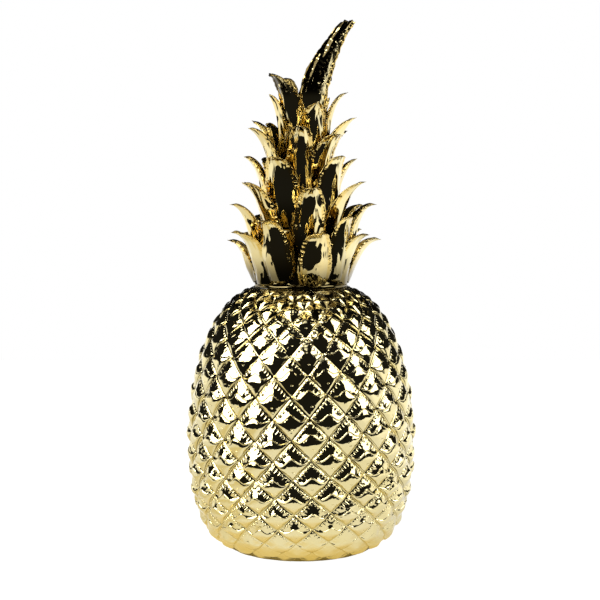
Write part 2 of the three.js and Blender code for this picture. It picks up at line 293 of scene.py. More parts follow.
# Fruit: a hollow jar whose skin is covered by scales on two crossing families of spirals
fruitValues = {
    "height": 160.5, "radius": 70.5, "footRadius": 46, "rimRadius": 28.5, "mouthRadius": 20.5,
    "wall": 4.5, "floorThickness": 7, "floorRound": 6, "footRingWidth": 9, "footRecess": 1.5,
    "outlineShares": [
        (0.03, 0.77), (0.075, 0.855), (0.15, 0.925), (0.25, 0.978), (0.386, 1.0), (0.523, 0.985),
        (0.66, 0.938), (0.785, 0.851), (0.89, 0.726), (0.96, 0.58),
    ],
    "outlineSteps": 480, "spiralsRight": 18, "spiralsLeft": 20, "spiralSkew": 0.915,
    "tallnessLow": 0.312, "tallnessHigh": 0.383, "tallnessChange": (0.22, 0.66),
    "frontScaleHeight": 78.2, "frontScaleTurn": 4.6, "scaleFade": 0.6,
    # a scale: its relief above the grooves, the bract below its crest line, and the pillow above it
    "relief": 2.6, "bractLift": 2.9, "pillowLift": 2.5, "crestPeak": 0.17, "crestPeakWidth": 0.24,
    "crestDip": 0.13, "crestDipAt": 0.55, "crestDipWidth": 0.27, "crestStep": 0.055, "crestEnds": (1.0, 0.8),
    "bractPower": 1.2, "bractRound": 2.2, "bractLevel": 0.36, "pillowPower": 1.3,
    "cornerDip": 1.2, "cornerPower": 2.1, "tiltSpread": 0.16, "shiftSpread": 1.4, "sizeSpread": 0.06,
    # slow lumps on each scale: waves along its sides and across its corners, and where the neck's begin
    "lumps": 0.26, "sideWaves": (7.5, 6.5), "cornerWaves": (12, 10), "cornerShare": 0.6, "lumpEdge": 0.1,
    "neckJumble": 1.0, "neckRows": (0.72, 0.98),
    "shoulderEase": 0.45, "shoulderFrom": (0.35, 0.75), "footEase": 0.4, "footEaseRows": (0.5, 3.0),
    # the groove between scales and the bead that runs along its middle, as shares of a scale's side
    "grooveDepth": 0.26, "grooveEdge": (0.015, 0.034), "beadLift": 0.32, "beadWidth": 0.012,
    "steps": [0, 0.01, 0.022, 0.042, 0.085, 0.16, 0.26, 0.375, 0.5], "wallRings": 28,
    # the foot ring slopes up to the recess over footSlope, and its flat ends footSeat inside the foot's edge
    "footSlope": 3, "footSeat": 3.5, "footRounds": (1.2, 1.2), "rimRounds": (1.4, 0.8), "floorRounds": (3,),
    "poleRadius": 0.5, "columns": 96, "seed": 11,
}


def fruitOutline(values):
    # uniform Catmull-Rom curve through the outline's points; rows counts the scale heights climbed so far
    shares = np.array(values["outlineShares"])
    inner = np.stack([values["radius"] * shares[:, 1], values["height"] * shares[:, 0]], 1)
    knots = np.concatenate([[(values["footRadius"], 0)], inner, [(values["rimRadius"], values["height"])]])
    padded = np.concatenate([knots[:1], knots, knots[-1:]])
    place = np.linspace(0, len(knots) - 1, values["outlineSteps"] + 1)
    span = np.minimum(place.astype(int), len(knots) - 2)
    t = (place - span)[:, None]
    p0, p1, p2, p3 = (padded[span + k] for k in range(4))
    v0, v1 = (p2 - p0) / 2, (p3 - p1) / 2
    point = (2 * p1 - 2 * p2 + v0 + v1) * t ** 3 + (-3 * p1 + 3 * p2 - 2 * v0 - v1) * t ** 2 + v0 * t + p1
    along = 3 * (2 * p1 - 2 * p2 + v0 + v1) * t ** 2 + 2 * (-3 * p1 + 3 * p2 - 2 * v0 - v1) * t + v0
    along /= np.linalg.norm(along, axis=1)[:, None]
    change = easeBetween(*values["tallnessChange"], point[:, 1] / values["height"])
    tallness = values["tallnessLow"] + (values["tallnessHigh"] - values["tallnessLow"]) * change
    step = np.linalg.norm(np.diff(point, axis=0), axis=1)
    climbed = step / (tallness[1:] * 0.5 * (point[1:, 0] + point[:-1, 0]))
    rows = np.concatenate([[0], np.cumsum(climbed)])
    return {"r": point[:, 0], "z": point[:, 1], "outR": along[:, 1], "outZ": -along[:, 0], "rows": rows}


def outlineAt(outline, rows):
    return [np.interp(rows, outline["rows"], outline[key]) for key in ("r", "z", "outR", "outZ")]


def scaleLift(values, a, b, tilt, shift):
    # lift of the skin, in millimetres, over a scale. a and b run from -0.5 to 0.5 along the two spirals, so
    # across = a - b goes from the left corner to the right one and up = a + b from the bottom to the top.
    across, up = a - b, a + b
    width = np.abs(across)
    crest = values["crestPeak"] * np.exp(-(across / values["crestPeakWidth"]) ** 2)
    dip = np.exp(-((width - values["crestDipAt"]) / values["crestDipWidth"]) ** 2)
    crest = crest - values["crestDip"] * dip * (1 + shift * across) + tilt
    crest = crest * easeBetween(*values["crestEnds"], width)
    # below the crest: the bract, level for a stretch and then falling ever faster to the lower corner
    level = values["bractLevel"] * (1 - width)
    room = np.maximum(1e-6, crest - level + 1 - width)
    fall = np.clip((crest - level - up) / room, 0, 1)
    bract = values["bractLift"] * (1 - width ** values["bractRound"]) * (1 - fall ** values["bractPower"])
    # above the crest: a pillow that is round towards the two upper grooves
    power = values["pillowPower"]
    pillow = values["pillowLift"] * (1 - np.abs(2 * a) ** power) * (1 - np.abs(2 * b) ** power)
    above = easeBetween(0, values["crestStep"], up - crest)
    form = bract + (pillow - bract) * above
    # the four corners are sunk
    form = form - values["cornerDip"] * np.abs(4 * a * b) ** values["cornerPower"]
    # groove and bead along the four borders
    border = 0.5 - np.maximum(np.abs(a), np.abs(b))
    groove = values["grooveDepth"] * (1 - easeBetween(*values["grooveEdge"], border))
    bead = values["beadLift"] * np.exp(-(border / values["beadWidth"]) ** 2)
    return form - groove + bead


def makeFruit(values):
    rng = np.random.default_rng(values["seed"])
    outline = fruitOutline(values)
    rowsInAll = outline["rows"][-1]
    right, left = values["spiralsRight"], values["spiralsLeft"]
    stepRight = values["spiralSkew"] * np.pi / right
    stepLeft = (2 * np.pi - right * stepRight) / left
    frontRows = outline["rows"][np.argmax(outline["z"] >= values["frontScaleHeight"])]

    # the scales' places (i, j) in the two families, as far as they touch the skin
    i, j = np.meshgrid(np.arange(right), np.arange(-2 * left, 2 * left), indexing="ij")
    i, j = i.ravel(), j.ravel()
    middleRows = frontRows + (left * i + right * j) / (left + right)
    kept = (middleRows > -0.5) & (middleRows < rowsInAll + 0.5)
    i, j = i[kept][:, None, None], j[kept][:, None, None]
    half = np.array(values["steps"])
    shares = np.concatenate([half - 0.5, 0.5 - half[-2::-1]])
    count = len(shares) - 1
    k, l = np.meshgrid(np.arange(count + 1), np.arange(count + 1), indexing="ij")
    k, l = k[None], l[None]
    a, b = shares[k] + 0 * i, shares[l] + 0 * i
    luck = rng.random(i.shape + (2,))
    tilt = (luck[..., 0] - 0.5) * values["tiltSpread"]
    shift = (luck[..., 1] - 0.5) * values["shiftSpread"]
    size = 1 + rng.normal(0, values["sizeSpread"], i.shape)
    phase = rng.uniform(0, 2 * np.pi, i.shape + (4,))

    # the skin's grid, with the points that neighbouring scales share merged by their place in the lattice
    rows = frontRows + (left * (i + a) + right * (j + b)) / (left + right)
    turn = math.radians(values["frontScaleTurn"]) + (i + a) * stepRight - (j + b) * stepLeft
    inner = easeBetween(0.0, values["lumpEdge"], 0.5 - np.maximum(np.abs(a), np.abs(b)))
    lift = scaleLift(values, a, b, tilt, shift) * (1 + (size - 1) * inner)
    # slow lumps, different on each scale, that fade out at its borders
    waves = zip((*values["sideWaves"], *values["cornerWaves"]), (a, b, a + b, a - b), np.moveaxis(phase, -1, 0))
    waveA, waveB, waveUp, waveAcross = (np.sin(number * place + start) for number, place, start in waves)
    lumps = waveA * waveB + values["cornerShare"] * waveUp * waveAcross
    jumble = values["lumps"] * (1 + values["neckJumble"] * easeBetween(*values["neckRows"], rows / rowsInAll))
    lift = lift + jumble * lumps * inner * (1 - (2 * a) ** 2) * (1 - (2 * b) ** 2)
    latticeI, latticeJ = i * count + k, j * count + l
    laps = latticeI // (right * count)
    apart = 100000  # more than all places along j
    key = (latticeI - laps * right * count) * apart + latticeJ + laps * left * count
    _, first, index = np.unique(key.ravel(), return_index=True, return_inverse=True)
    index = index.reshape(key.shape)
    rows, turn, lift = (value.ravel()[first] for value in (rows, turn, lift))
    turn = np.mod(turn, 2 * np.pi)
    held = np.clip(rows, 0, rowsInAll)
    r, z, outR, outZ = outlineAt(outline, held)
    fade = easeBetween(-values["scaleFade"], values["scaleFade"], held)
    fade = fade * easeBetween(0, values["scaleFade"], rowsInAll - held)
    softer = 1 - values["shoulderEase"] * easeBetween(*values["shoulderFrom"], held / rowsInAll)
    softer = softer * (1 - values["footEase"] * (1 - easeBetween(*values["footEaseRows"], held)))
    rise = (lift - values["relief"]) * fade * softer
    r, z = r + rise * outR, np.clip(z + rise * outZ, 0, values["height"])
    z = np.where(rows <= 0, 0, np.where(rows >= rowsInAll, values["height"], z))
    points = np.stack([r * np.sin(turn), -r * np.cos(turn), z], 1)

    # each cell of the grid is split along its level diagonal, and what was pressed flat at the ends is dropped
    def cellTriangles(grid):
        cells = np.stack([grid[:, :-1, :-1], grid[:, 1:, :-1], grid[:, 1:, 1:], grid[:, :-1, 1:]], 3)
        cells = cells.reshape(-1, 4, *grid.shape[3:])
        return np.concatenate([cells[:, [0, 1, 3]], cells[:, [1, 2, 3]]])

    triangles = cellTriangles(index)
    mapCorners = cellTriangles(np.stack([a + 0.5, b + 0.5], -1))
    luck = cellTriangles(np.broadcast_to(luck, a.shape + (2,)))
    outside = np.where(rows <= 0, -1, np.where(rows >= rowsInAll, 1, 0))
    kept = np.abs(outside[triangles].sum(1)) < 3
    triangles, mapCorners, luck = triangles[kept], mapCorners[kept], luck[kept]

    # the two round openings that are left, each with its points in order of turn
    used = np.unique(triangles)
    used = used[np.argsort(turn[used], kind="stable")]
    footLoop, rimLoop = used[outside[used] == -1], used[outside[used] == 1]

    # underside: from the axis out to the foot
    columns, pole = values["columns"], values["poleRadius"]
    recessRadius = values["footRadius"] - values["footRingWidth"]
    underside = roundedProfile([
        (pole, values["footRecess"]), (recessRadius - values["footSlope"], values["footRecess"]),
        (recessRadius, 0), (values["footRadius"] - values["footSeat"], 0),
    ], values["footRounds"])
    underPoints, underQuads, underTurn = turnedRings(underside, turn[footLoop[0]], columns)
    underStart = len(points)
    underTop = underStart + (len(underside) - 1) * columns + np.arange(columns)
    underPole = underStart + len(underPoints)

    # inside: over the rim, down the wall and in across the floor to the axis
    depth = values["wall"] + values["relief"]
    wallR, wallZ, wallOutR, wallOutZ = outlineAt(outline, np.linspace(rowsInAll, 0, values["wallRings"]))
    wallR, wallZ = wallR - depth * wallOutR, wallZ - depth * wallOutZ
    room = (wallZ > values["floorThickness"] + 1) & (wallR > values["mouthRadius"] + 0.5)
    wallLine = np.stack([wallR[room], wallZ[room]], 1)
    rim = roundedProfile([
        (values["rimRadius"] - 0.5, values["height"]), (values["mouthRadius"], values["height"]),
        (values["mouthRadius"], wallLine[0, 1]), tuple(wallLine[0]),
    ], values["rimRounds"])
    floor = roundedProfile([
        tuple(wallLine[-1]), (wallLine[-1, 0] - values["floorRound"], values["floorThickness"]),
        (pole, values["floorThickness"]),
    ], values["floorRounds"])
    inside = np.concatenate([rim, wallLine[1:], floor[1:]])
    inPoints, inQuads, inTurn = turnedRings(inside, turn[rimLoop[0]], columns)
    inStart = underPole + 1
    inPole = inStart + len(inPoints)
    inBottom = inStart + (len(inside) - 1) * columns + np.arange(columns)
    points = np.concatenate([
        points, underPoints, [(0, 0, values["footRecess"])], inPoints, [(0, 0, values["floorThickness"])],
    ])
    ring = np.arange(columns)
    underRing = underStart + ring
    poleBelow = np.stack([np.roll(underRing, -1), underRing, np.full(columns, underPole)], 1)
    poleInside = np.stack([inBottom, np.roll(inBottom, -1), np.full(columns, inPole)], 1)
    plain = np.concatenate([
        stitchRings(underTop, underTurn, footLoop, turn[footLoop]),
        stitchRings(rimLoop, turn[rimLoop], inStart + ring, inTurn), poleBelow, poleInside,
    ])
    quads = np.concatenate([underStart + underQuads, inStart + inQuads])
    restCorners = plain.size + quads.size
    maps = {
        "scaleMap": np.concatenate([mapCorners.reshape(-1, 2), np.full((restCorners, 2), 0.5)]),
        "luckMap": np.concatenate([luck.reshape(-1, 2), np.full((restCorners, 2), 0.5)]),
    }
    piece = newPiece("fruit", points, [triangles, plain, quads], maps)
    print("fruit:", len(triangles) + len(plain) + 2 * len(quads), "triangles")
    return piece


fruit = makeFruit(fruitValues)

# Crown: flange, collar, hollow core and leaves, cast in one; it lifts off as the lid
crownValues = {
    "seat": 160.8, "flangeRadius": 28.5, "flangeThickness": 2.4, "boreRadius": 15.7, "collarRadius": 19.7,
    "collarDepth": 10, "stemRadius": 26, "stemTopRadius": 7.5, "stemHeight": 114, "stemWall": 4.5,
    "hollowBelowTop": 9, "profileRounds": (1, 0, 1, 1, 1, 0.6, 0.7, 0.9, 1, 2.5), "poleRadius": 0.3,
    # the flange's edge: its swing outwards and upwards, and waves as number all round, start and share
    "flangeUnevenness": (0.5, 0.4), "flangeWaves": ((3, 0.7, 0.5), (7, 2.0, 0.3), (13, 0, 0.2)), "waveShift": 9,
    "columns": 96, "seed": 5,
    "leafThickness": 3, "leafProud": 3, "leafCup": 57, "leafLean": -0.09, "leanSpread": 0.07, "leafHook": 0.47,
    "leafBaseWidth": 0.8, "leafWidestAt": 0.35, "leafRoundness": (3.0, 1.0),
    "stations": 44, "outerSteps": 19, "innerSteps": 11,
    "marginLift": 1.15, "marginWidth": 0.2, "toothPitch": 2.6, "toothLift": 0.4, "toothPower": 0.7,
    "raggedness": 0.135, "ragLengths": (1.3, 0.77, 2.9), "rootSwell": 0.3, "rootSwellReach": 6,
    # slow waves over a blade: length along it, slant across it and share of the height
    "warp": 0.55, "warpWaves": ((8, 1.9, 1), (4.2, -2.6, 0.35)),
    # a belly on each blade: where along and across it, and how big, at least and at most
    "belly": 1.0, "bellyLength": 0.22, "bellyWidth": 0.7,
    "bellyLeast": (0.2, -0.5, 0.3), "bellyMost": (0.5, 0.5, 1.0),
    # turn from the front, base and tip above the seat, reach, half width, droop, share of width at the tip,
    # roll of the section round the leaf's own line, and how far the tip is swayed to the right
    "frontLeaves": [
        (15, 1.5, 34, 46, 9.6, 1), (-60, 1.5, 34, 48, 10.5, -1), (68, 1.5, 32, 44, 10, -1),
        (-32, 4, 41, 43, 10.4, 1), (52, 4, 43, 39, 9.4, 1), (-72, 12, 50, 45, 10, -1),
        (10, 20, 61, 42, 9, 1), (-62, 26, 63.5, 40, 10, -3), (66, 26, 64, 42.5, 10, -4),
        (-30, 36, 78.5, 35, 11), (46, 36, 79, 35, 10.5), (-1, 52, 97, 33, 7.6, 1),
        (-68, 56, 95.5, 34, 9, -1), (42, 52, 92, 34, 9), (72, 60, 102, 35, 9, -4),
        (19, 72, 111.5, 31, 8.7, -6), (-70, 78, 116, 20.5, 7, -3), (-14, 84, 127, 22, 7.5, 1, 0.06, 30, -14),
    ],
    "sideLeaves": [
        (-97, 1.5, 27, 45.5, 9.6, -2), (95, 1.5, 27.5, 49, 10), (93, 12, 49, 46, 10),
        (-95, 38, 78, 35, 9.5, -1), (97, 38, 77, 34.5, 9.5, -4), (-118, 60, 98, 24, 8, 1),
        (88, 80, 117, 28.5, 7, -3), (-140, 84, 126, 14, 8, 1),
    ],
    "tallLeaf": (18, 84, 159, 15, 8.5, -14, 0.5, 0, 25), "leafEnd": (0, 0.06, 0, 0), "swayPower": 1.6,
    "tear": 0.8, "tearFrom": 0.86, "tearWaves": ((6, 1), (13, 0.7)),
    # leaves, by turn and base, that lean by more or less than the rest
    "leans": {
        (15, 1.5): 0.3, (-32, 4): 0.15, (10, 20): 0.14, (-30, 36): 0.02, (46, 36): 0.08,
        (19, 72): 0.06, (52, 4): 0.14, (-60, 1.5): 0.06, (68, 1.5): 0.08, (-97, 1.5): 0.25,
        (95, 1.5): 0.25, (-72, 12): 0.1, (93, 12): 0.12, (18, 84): 0.0,
    },
    "backShorter": 0.95, "backReach": 0.9,
}


def coreRadius(values, z):
    share = np.clip(z / values["stemHeight"], 0, 1)
    return values["stemRadius"] + (values["stemTopRadius"] - values["stemRadius"]) * share


def leafMesh(values, leaf, rng):
    # A cupped blade carried along a cubic curve in the plane of its turn. Its section is an arc with a raised,
    # toothed margin outside, a thinner inner side, and round edges. Returns points and quads, closed by poles.
    leaf = leaf + values["leafEnd"][len(leaf) - 5:]
    turn, base, tip, reach, halfWidth, droop, tipWidth, roll, sway = leaf
    start = coreRadius(values, base) + values["leafProud"]
    rise, hook = tip - base, values["leafHook"]
    seat = values["seat"]
    p0, p3 = np.array([start, seat + base]), np.array([reach, seat + tip])
    lean = values["leafLean"] + values["leanSpread"] * rng.uniform(-1, 1)
    lean = values["leans"].get((turn, base), lean)
    p1 = np.array([start + lean * rise, seat + base + 0.5 * rise])
    p2 = np.array([reach - hook * (reach - start), seat + tip + droop])
    t = np.linspace(0, 1, values["stations"])[:, None]
    middle = (1 - t) ** 3 * p0 + 3 * t * (1 - t) ** 2 * p1 + 3 * t ** 2 * (1 - t) * p2 + t ** 3 * p3
    along = 3 * (1 - t) ** 2 * (p1 - p0) + 6 * t * (1 - t) * (p2 - p1) + 3 * t ** 2 * (p3 - p2)
    along /= np.linalg.norm(along, axis=1)[:, None]
    steps = np.linalg.norm(np.diff(middle, axis=0), axis=1)
    length = np.concatenate([[0], np.cumsum(steps)])[:, None]

    # half width, cup and thickness along the blade
    widest = values["leafBaseWidth"] + (1 - values["leafBaseWidth"]) * np.sin(
        np.pi / 2 * np.minimum(1, t / values["leafWidestAt"]))
    power, roundness = values["leafRoundness"]
    narrowing = np.maximum(tipWidth, (1 - t ** power) ** roundness)
    half = halfWidth * widest * narrowing
    cup = math.radians(values["leafCup"])
    thickness = values["leafThickness"] * np.minimum(1, 0.25 + 0.9 * half / halfWidth)

    # across the section: outer side from left to right, then the inner side back
    outer = np.sin(np.linspace(-np.pi / 2, np.pi / 2, values["outerSteps"]))
    inner = np.sin(np.linspace(np.pi / 2, -np.pi / 2, values["innerSteps"]))[1:-1]
    across = np.concatenate([outer, inner])[None, :]
    isOuter = (np.arange(across.shape[1]) < len(outer))[None, :]
    angle = across * cup
    curl = half / math.sin(cup)

    # unevenness: slow waves over the blade, ragged margins and small teeth along them
    phase = rng.uniform(0, 2 * np.pi, 6)
    wave = sum(
        share * np.sin(length / pitch + start + slant * across)
        for (pitch, slant, share), start in zip(values["warpWaves"], phase[:2])
    )
    waveLift = values["warp"] * wave * (0.6 + 0.4 * across ** 2)
    # a belly, higher or lower on each blade and more to one side
    bellyAt, bellySide, bellySize = rng.uniform(values["bellyLeast"], values["bellyMost"])
    off = ((t - bellyAt) / values["bellyLength"]) ** 2 + ((across - bellySide) / values["bellyWidth"]) ** 2
    waveLift = waveLift + values["belly"] * bellySize * np.exp(-off)
    margin = np.exp(-((1 - np.abs(across)) / values["marginWidth"]) ** 2)
    teeth = np.cos(2 * np.pi * length / values["toothPitch"] + phase[2] * np.sign(across))
    teeth = np.maximum(0, teeth) ** values["toothPower"]
    edgeLift = margin * (values["marginLift"] + values["toothLift"] * teeth)
    ragged = sum(np.sin(length / pitch + start) for pitch, start in zip(values["ragLengths"], phase[3:]))
    sideways = values["raggedness"] * ragged * np.sign(across) * margin
    fadeIn = easeBetween(0, 0.12, t)
    fadeOut = np.minimum(1, half / 3.0)
    body = thickness * (1 - np.abs(across) ** 5) ** 0.5
    root = values["rootSwell"] * np.exp(-(length / values["rootSwellReach"]) ** 2)
    outwards = np.where(isOuter, waveLift + edgeLift * fadeIn + root, waveLift - body) * fadeOut
    lateral = (curl + outwards) * np.sin(angle) + sideways * fadeIn * fadeOut
    sink = curl - (curl + outwards) * np.cos(angle)

    cosine, sine = np.cos(math.radians(roll) * t), np.sin(math.radians(roll) * t)
    lateral, sink = lateral * cosine + sink * sine, sink * cosine - lateral * sine
    outR, outZ = along[:, 1:2], -along[:, 0:1]
    r, z = middle[:, 0:1] - outR * sink, middle[:, 1:2] - outZ * sink
    # a leaf that sways bends to one side on its way up, and its broad tip is torn
    lateral = lateral + sway * t ** values["swayPower"]
    torn = sum(
        share * np.sin(number * across + start) for (number, share), start in zip(values["tearWaves"], phase)
    )
    z = z + values["tear"] * (sway != 0) * torn * easeBetween(values["tearFrom"], 1, t)
    cosine, sine = math.cos(math.radians(turn)), math.sin(math.radians(turn))
    points = np.stack([r * sine + lateral * cosine, lateral * sine - r * cosine, z], -1)
    stations, around = r.shape
    poles = np.stack([points[0].mean(0), points[-1].mean(0) + 0.3 * (points[-1] - points[-2]).mean(0)])
    ring = np.arange(around)
    station = np.arange(stations - 1)[:, None] * around
    nextOne = (ring + 1) % around
    above = station + around
    quads = np.stack([station + ring, station + nextOne, above + nextOne, above + ring], -1)
    last = (stations - 1) * around
    bottom, top = stations * around, stations * around + 1
    caps = np.concatenate([
        np.stack([nextOne, ring, np.full(around, bottom)], 1),
        np.stack([last + ring, last + nextOne, np.full(around, top)], 1),
    ])
    # on the map the inner side lies beside the outer one
    where = np.stack([np.where(isOuter, across, across + 3) + 0 * t, length + 0 * across], -1)
    besides = np.roll(where, -1, 1)
    quadMap = np.stack([where[:-1], besides[:-1], besides[1:], where[1:]], -2).reshape(-1, 2)
    capMap = np.concatenate([np.zeros((around * 3, 2)), np.tile([0.0, length[-1, 0]], (around * 3, 1))])
    return np.concatenate([points.reshape(-1, 3), poles]), quads.reshape(-1, 4), caps, quadMap, capMap


def makeCrown(values):
    rng = np.random.default_rng(values["seed"])
    leaves = list(values["frontLeaves"]) + list(values["sideLeaves"]) + [values["tallLeaf"]]
    # the back repeats three of every four front leaves
    for number, (turn, base, tip, reach, *rest) in enumerate(values["frontLeaves"]):
        if number % 4 != 3:
            shorter = base + (tip - base) * values["backShorter"]
            leaves.append((turn + 180, base, shorter, reach * values["backReach"], *rest))

    # flange, collar and hollow core: from the hollow's top down its wall, round the collar and up outside
    seat, top = values["seat"], values["seat"] + values["stemHeight"]
    hollowTop = values["stemHeight"] - values["hollowBelowTop"]
    hollowRadius = coreRadius(values, hollowTop) - values["stemWall"]
    wideRadius = coreRadius(values, 0) - values["stemWall"]
    collarEnd = seat - values["collarDepth"]
    pole = values["poleRadius"]
    profile = roundedProfile([
        (pole, seat + hollowTop), (hollowRadius, seat + hollowTop), (wideRadius, seat),
        (values["boreRadius"], seat), (values["boreRadius"], collarEnd), (values["collarRadius"], collarEnd),
        (values["collarRadius"], seat), (values["flangeRadius"], seat),
        (values["flangeRadius"], seat + values["flangeThickness"]),
        (values["stemRadius"], seat + values["flangeThickness"]), (values["stemTopRadius"], top), (pole, top),
    ], values["profileRounds"])
    points, quads, turn = turnedRings(profile, 0, values["columns"])
    columns = values["columns"]
    # the flange's edge swings slowly in and out and up and down, as cast by hand
    turn = np.tile(turn, len(profile))
    swing = sum(share * np.sin(number * turn + start) for number, start, share in values["flangeWaves"])
    onEdge = easeBetween(values["stemRadius"], values["flangeRadius"], np.hypot(points[:, 0], points[:, 1]))
    onTop = easeBetween(seat + 0.3, seat + values["flangeThickness"], points[:, 2])
    sideways, upwards = values["flangeUnevenness"]
    points[:, 2] += upwards * swing * onTop * onEdge
    swing = np.roll(swing, values["waveShift"])
    points[:, :2] *= 1 + (sideways * swing * onEdge / values["flangeRadius"])[:, None]
    ring = np.arange(columns)
    last = (len(profile) - 1) * columns
    poles = np.array([(0, 0, seat + hollowTop), (0, 0, top)])
    caps = np.concatenate([
        np.stack([(ring + 1) % columns, ring, np.full(columns, len(points))], 1),
        np.stack([last + ring, last + (ring + 1) % columns, np.full(columns, len(points) + 1)], 1),
    ])
    allPoints, allQuads, allCaps = [np.concatenate([points, poles])], [quads], [caps]
    quadMaps, capMaps = [np.zeros((quads.size, 2))], [np.zeros((caps.size, 2))]
    start = len(points) + 2
    for leaf in leaves:
        leafPoints, leafQuads, leafCaps, quadMap, capMap = leafMesh(values, leaf, rng)
        allPoints.append(leafPoints)
        allQuads.append(leafQuads + start)
        allCaps.append(leafCaps + start)
        quadMaps.append(quadMap)
        capMaps.append(capMap)
        start += len(leafPoints)
    faces = [np.concatenate(allQuads), np.concatenate(allCaps)]
    maps = {"leafMap": np.concatenate(quadMaps + capMaps)}
    piece = newPiece("crown", np.concatenate(allPoints), faces, maps)
    print("crown:", 2 * len(faces[0]) + len(faces[1]), "triangles")
    return piece


crown = makeCrown(crownValues)


# Glaze: metal mirror over porcelain; its tone, dulling and ripples come from shared node groups.
# A noise is its scale, detail and distortion, and a range is where an ease starts and ends.
glazeValues = {
    "pale": (0.80, 0.70, 0.385, 1), "toneNoise": (38.0, 3.0), "toneRange": (0.35, 0.68),
    "dullNoise": (420.0, 2.0), "dullRange": (0.42, 0.7), "dullFine": 0.035, "dullDeep": 0.06,
    "rippleNoise": (130.0, 1.0, 0.4), "dentNoise": (620.0, 1.0), "dentRange": (0.35, 0.75),
}


def newGroup(name, inputs, outputs):
    # inputs and outputs are (name, socket kind, value) rows
    tree = bpy.data.node_groups.new(name, "ShaderNodeTree")
    for direction, rows in (("INPUT", inputs), ("OUTPUT", outputs)):
        for socketName, kind, value in rows:
            socketType = "NodeSocket" + kind
            socket = tree.interface.new_socket(name=socketName, in_out=direction, socket_type=socketType)
            if value is not None:
                socket.default_value = value
    return tree, tree.nodes.new("NodeGroupInput").outputs, tree.nodes.new("NodeGroupOutput").inputs


def groupNode(tree, group, values):
    return addNode(tree, "ShaderNodeGroup", values, node_tree=group).outputs


def noiseNode(tree, vector, scale, detail=2.0, distortion=0.0):
    values = {"Vector": vector, "Scale": scale, "Detail": detail, "Distortion": distortion}
    return addNode(tree, "ShaderNodeTexNoise", values).outputs[0]


def glazeToneGroup(own):
    # tone between pale and deep gold from slow noise and depth, and how dull the glaze is
    tree, given, out = newGroup("glazeTone", [
        ("Vector", "Vector", None), ("Depth", "Float", 0.0),
        ("Pale", "Color", None), ("Deep", "Color", None),
        ("Patchiness", "Float", 0.5), ("Dullness", "Float", 0.08),
    ], [("Color", "Color", None), ("Roughness", "Float", None)])
    slow = easedNode(tree, noiseNode(tree, given["Vector"], *own["toneNoise"]), *own["toneRange"])
    fine = easedNode(tree, noiseNode(tree, given["Vector"], *own["dullNoise"]), *own["dullRange"])
    tone = mathNode(tree, "MULTIPLY_ADD", slow, given["Patchiness"], given["Depth"], clamp=True)
    tree.links.new(mixedColour(tree, tone, given["Pale"], given["Deep"]), out["Color"])
    dull = mathNode(tree, "MULTIPLY_ADD", fine, own["dullFine"], given["Dullness"])
    dull = mathNode(tree, "MULTIPLY_ADD", given["Depth"], own["dullDeep"], dull)
    tree.links.new(dull, out["Roughness"])
    return tree


def rippleGroup(own):
    # height of the glaze's slow ripples and of the small dents in the casting under it, in metres
    tree, given, out = newGroup("glazeRipple", [
        ("Vector", "Vector", None), ("Ripple", "Float", 0.0002),
        ("Dents", "Float", 0.00005),
    ], [("Height", "Float", None)])
    slow = noiseNode(tree, given["Vector"], *own["rippleNoise"])
    fine = easedNode(tree, noiseNode(tree, given["Vector"], *own["dentNoise"]), *own["dentRange"])
    height = productNode(tree, slow, given["Ripple"])
    tree.links.new(mathNode(tree, "MULTIPLY_ADD", fine, given["Dents"], height), out["Height"])
    return tree


# The ribs, pits, nicks and lips on the scales. Heights are in metres; places and widths are shares of a
# scale's side. pitShare is the depth of a pit against the height of a rib.
combValues = {
    "ribs": 6.0, "ribsSpread": 1.5, "ribHeight": 0.00022, "ribShape": (-0.6, 0.8),
    "bandFrom": 0.70, "bandSpread": 0.12, "bandTop": 0.9, "bandEnd": (0.9, 0.96),
    "rowStart": (0.06, 0.16), "rowEnd": (0.86, 0.97),
    "pitShare": 1.3, "pitShape": (-0.95, -0.35), "pitsFrom": (0.895, 0.915), "pitsTo": (0.93, 0.95),
    "nickDepth": 0.0004, "nickPlace": (0.24, 0.20), "nickSpread": 0.10, "nickHalfWidths": (0.03, 0.075),
    "nickEdge": (0.2, 1.2), "nickChance": (0.25, 0.45),
    "lipHeight": 0.0003, "lipWidth": 0.028, "lipEnds": (0.78, 0.95),
}


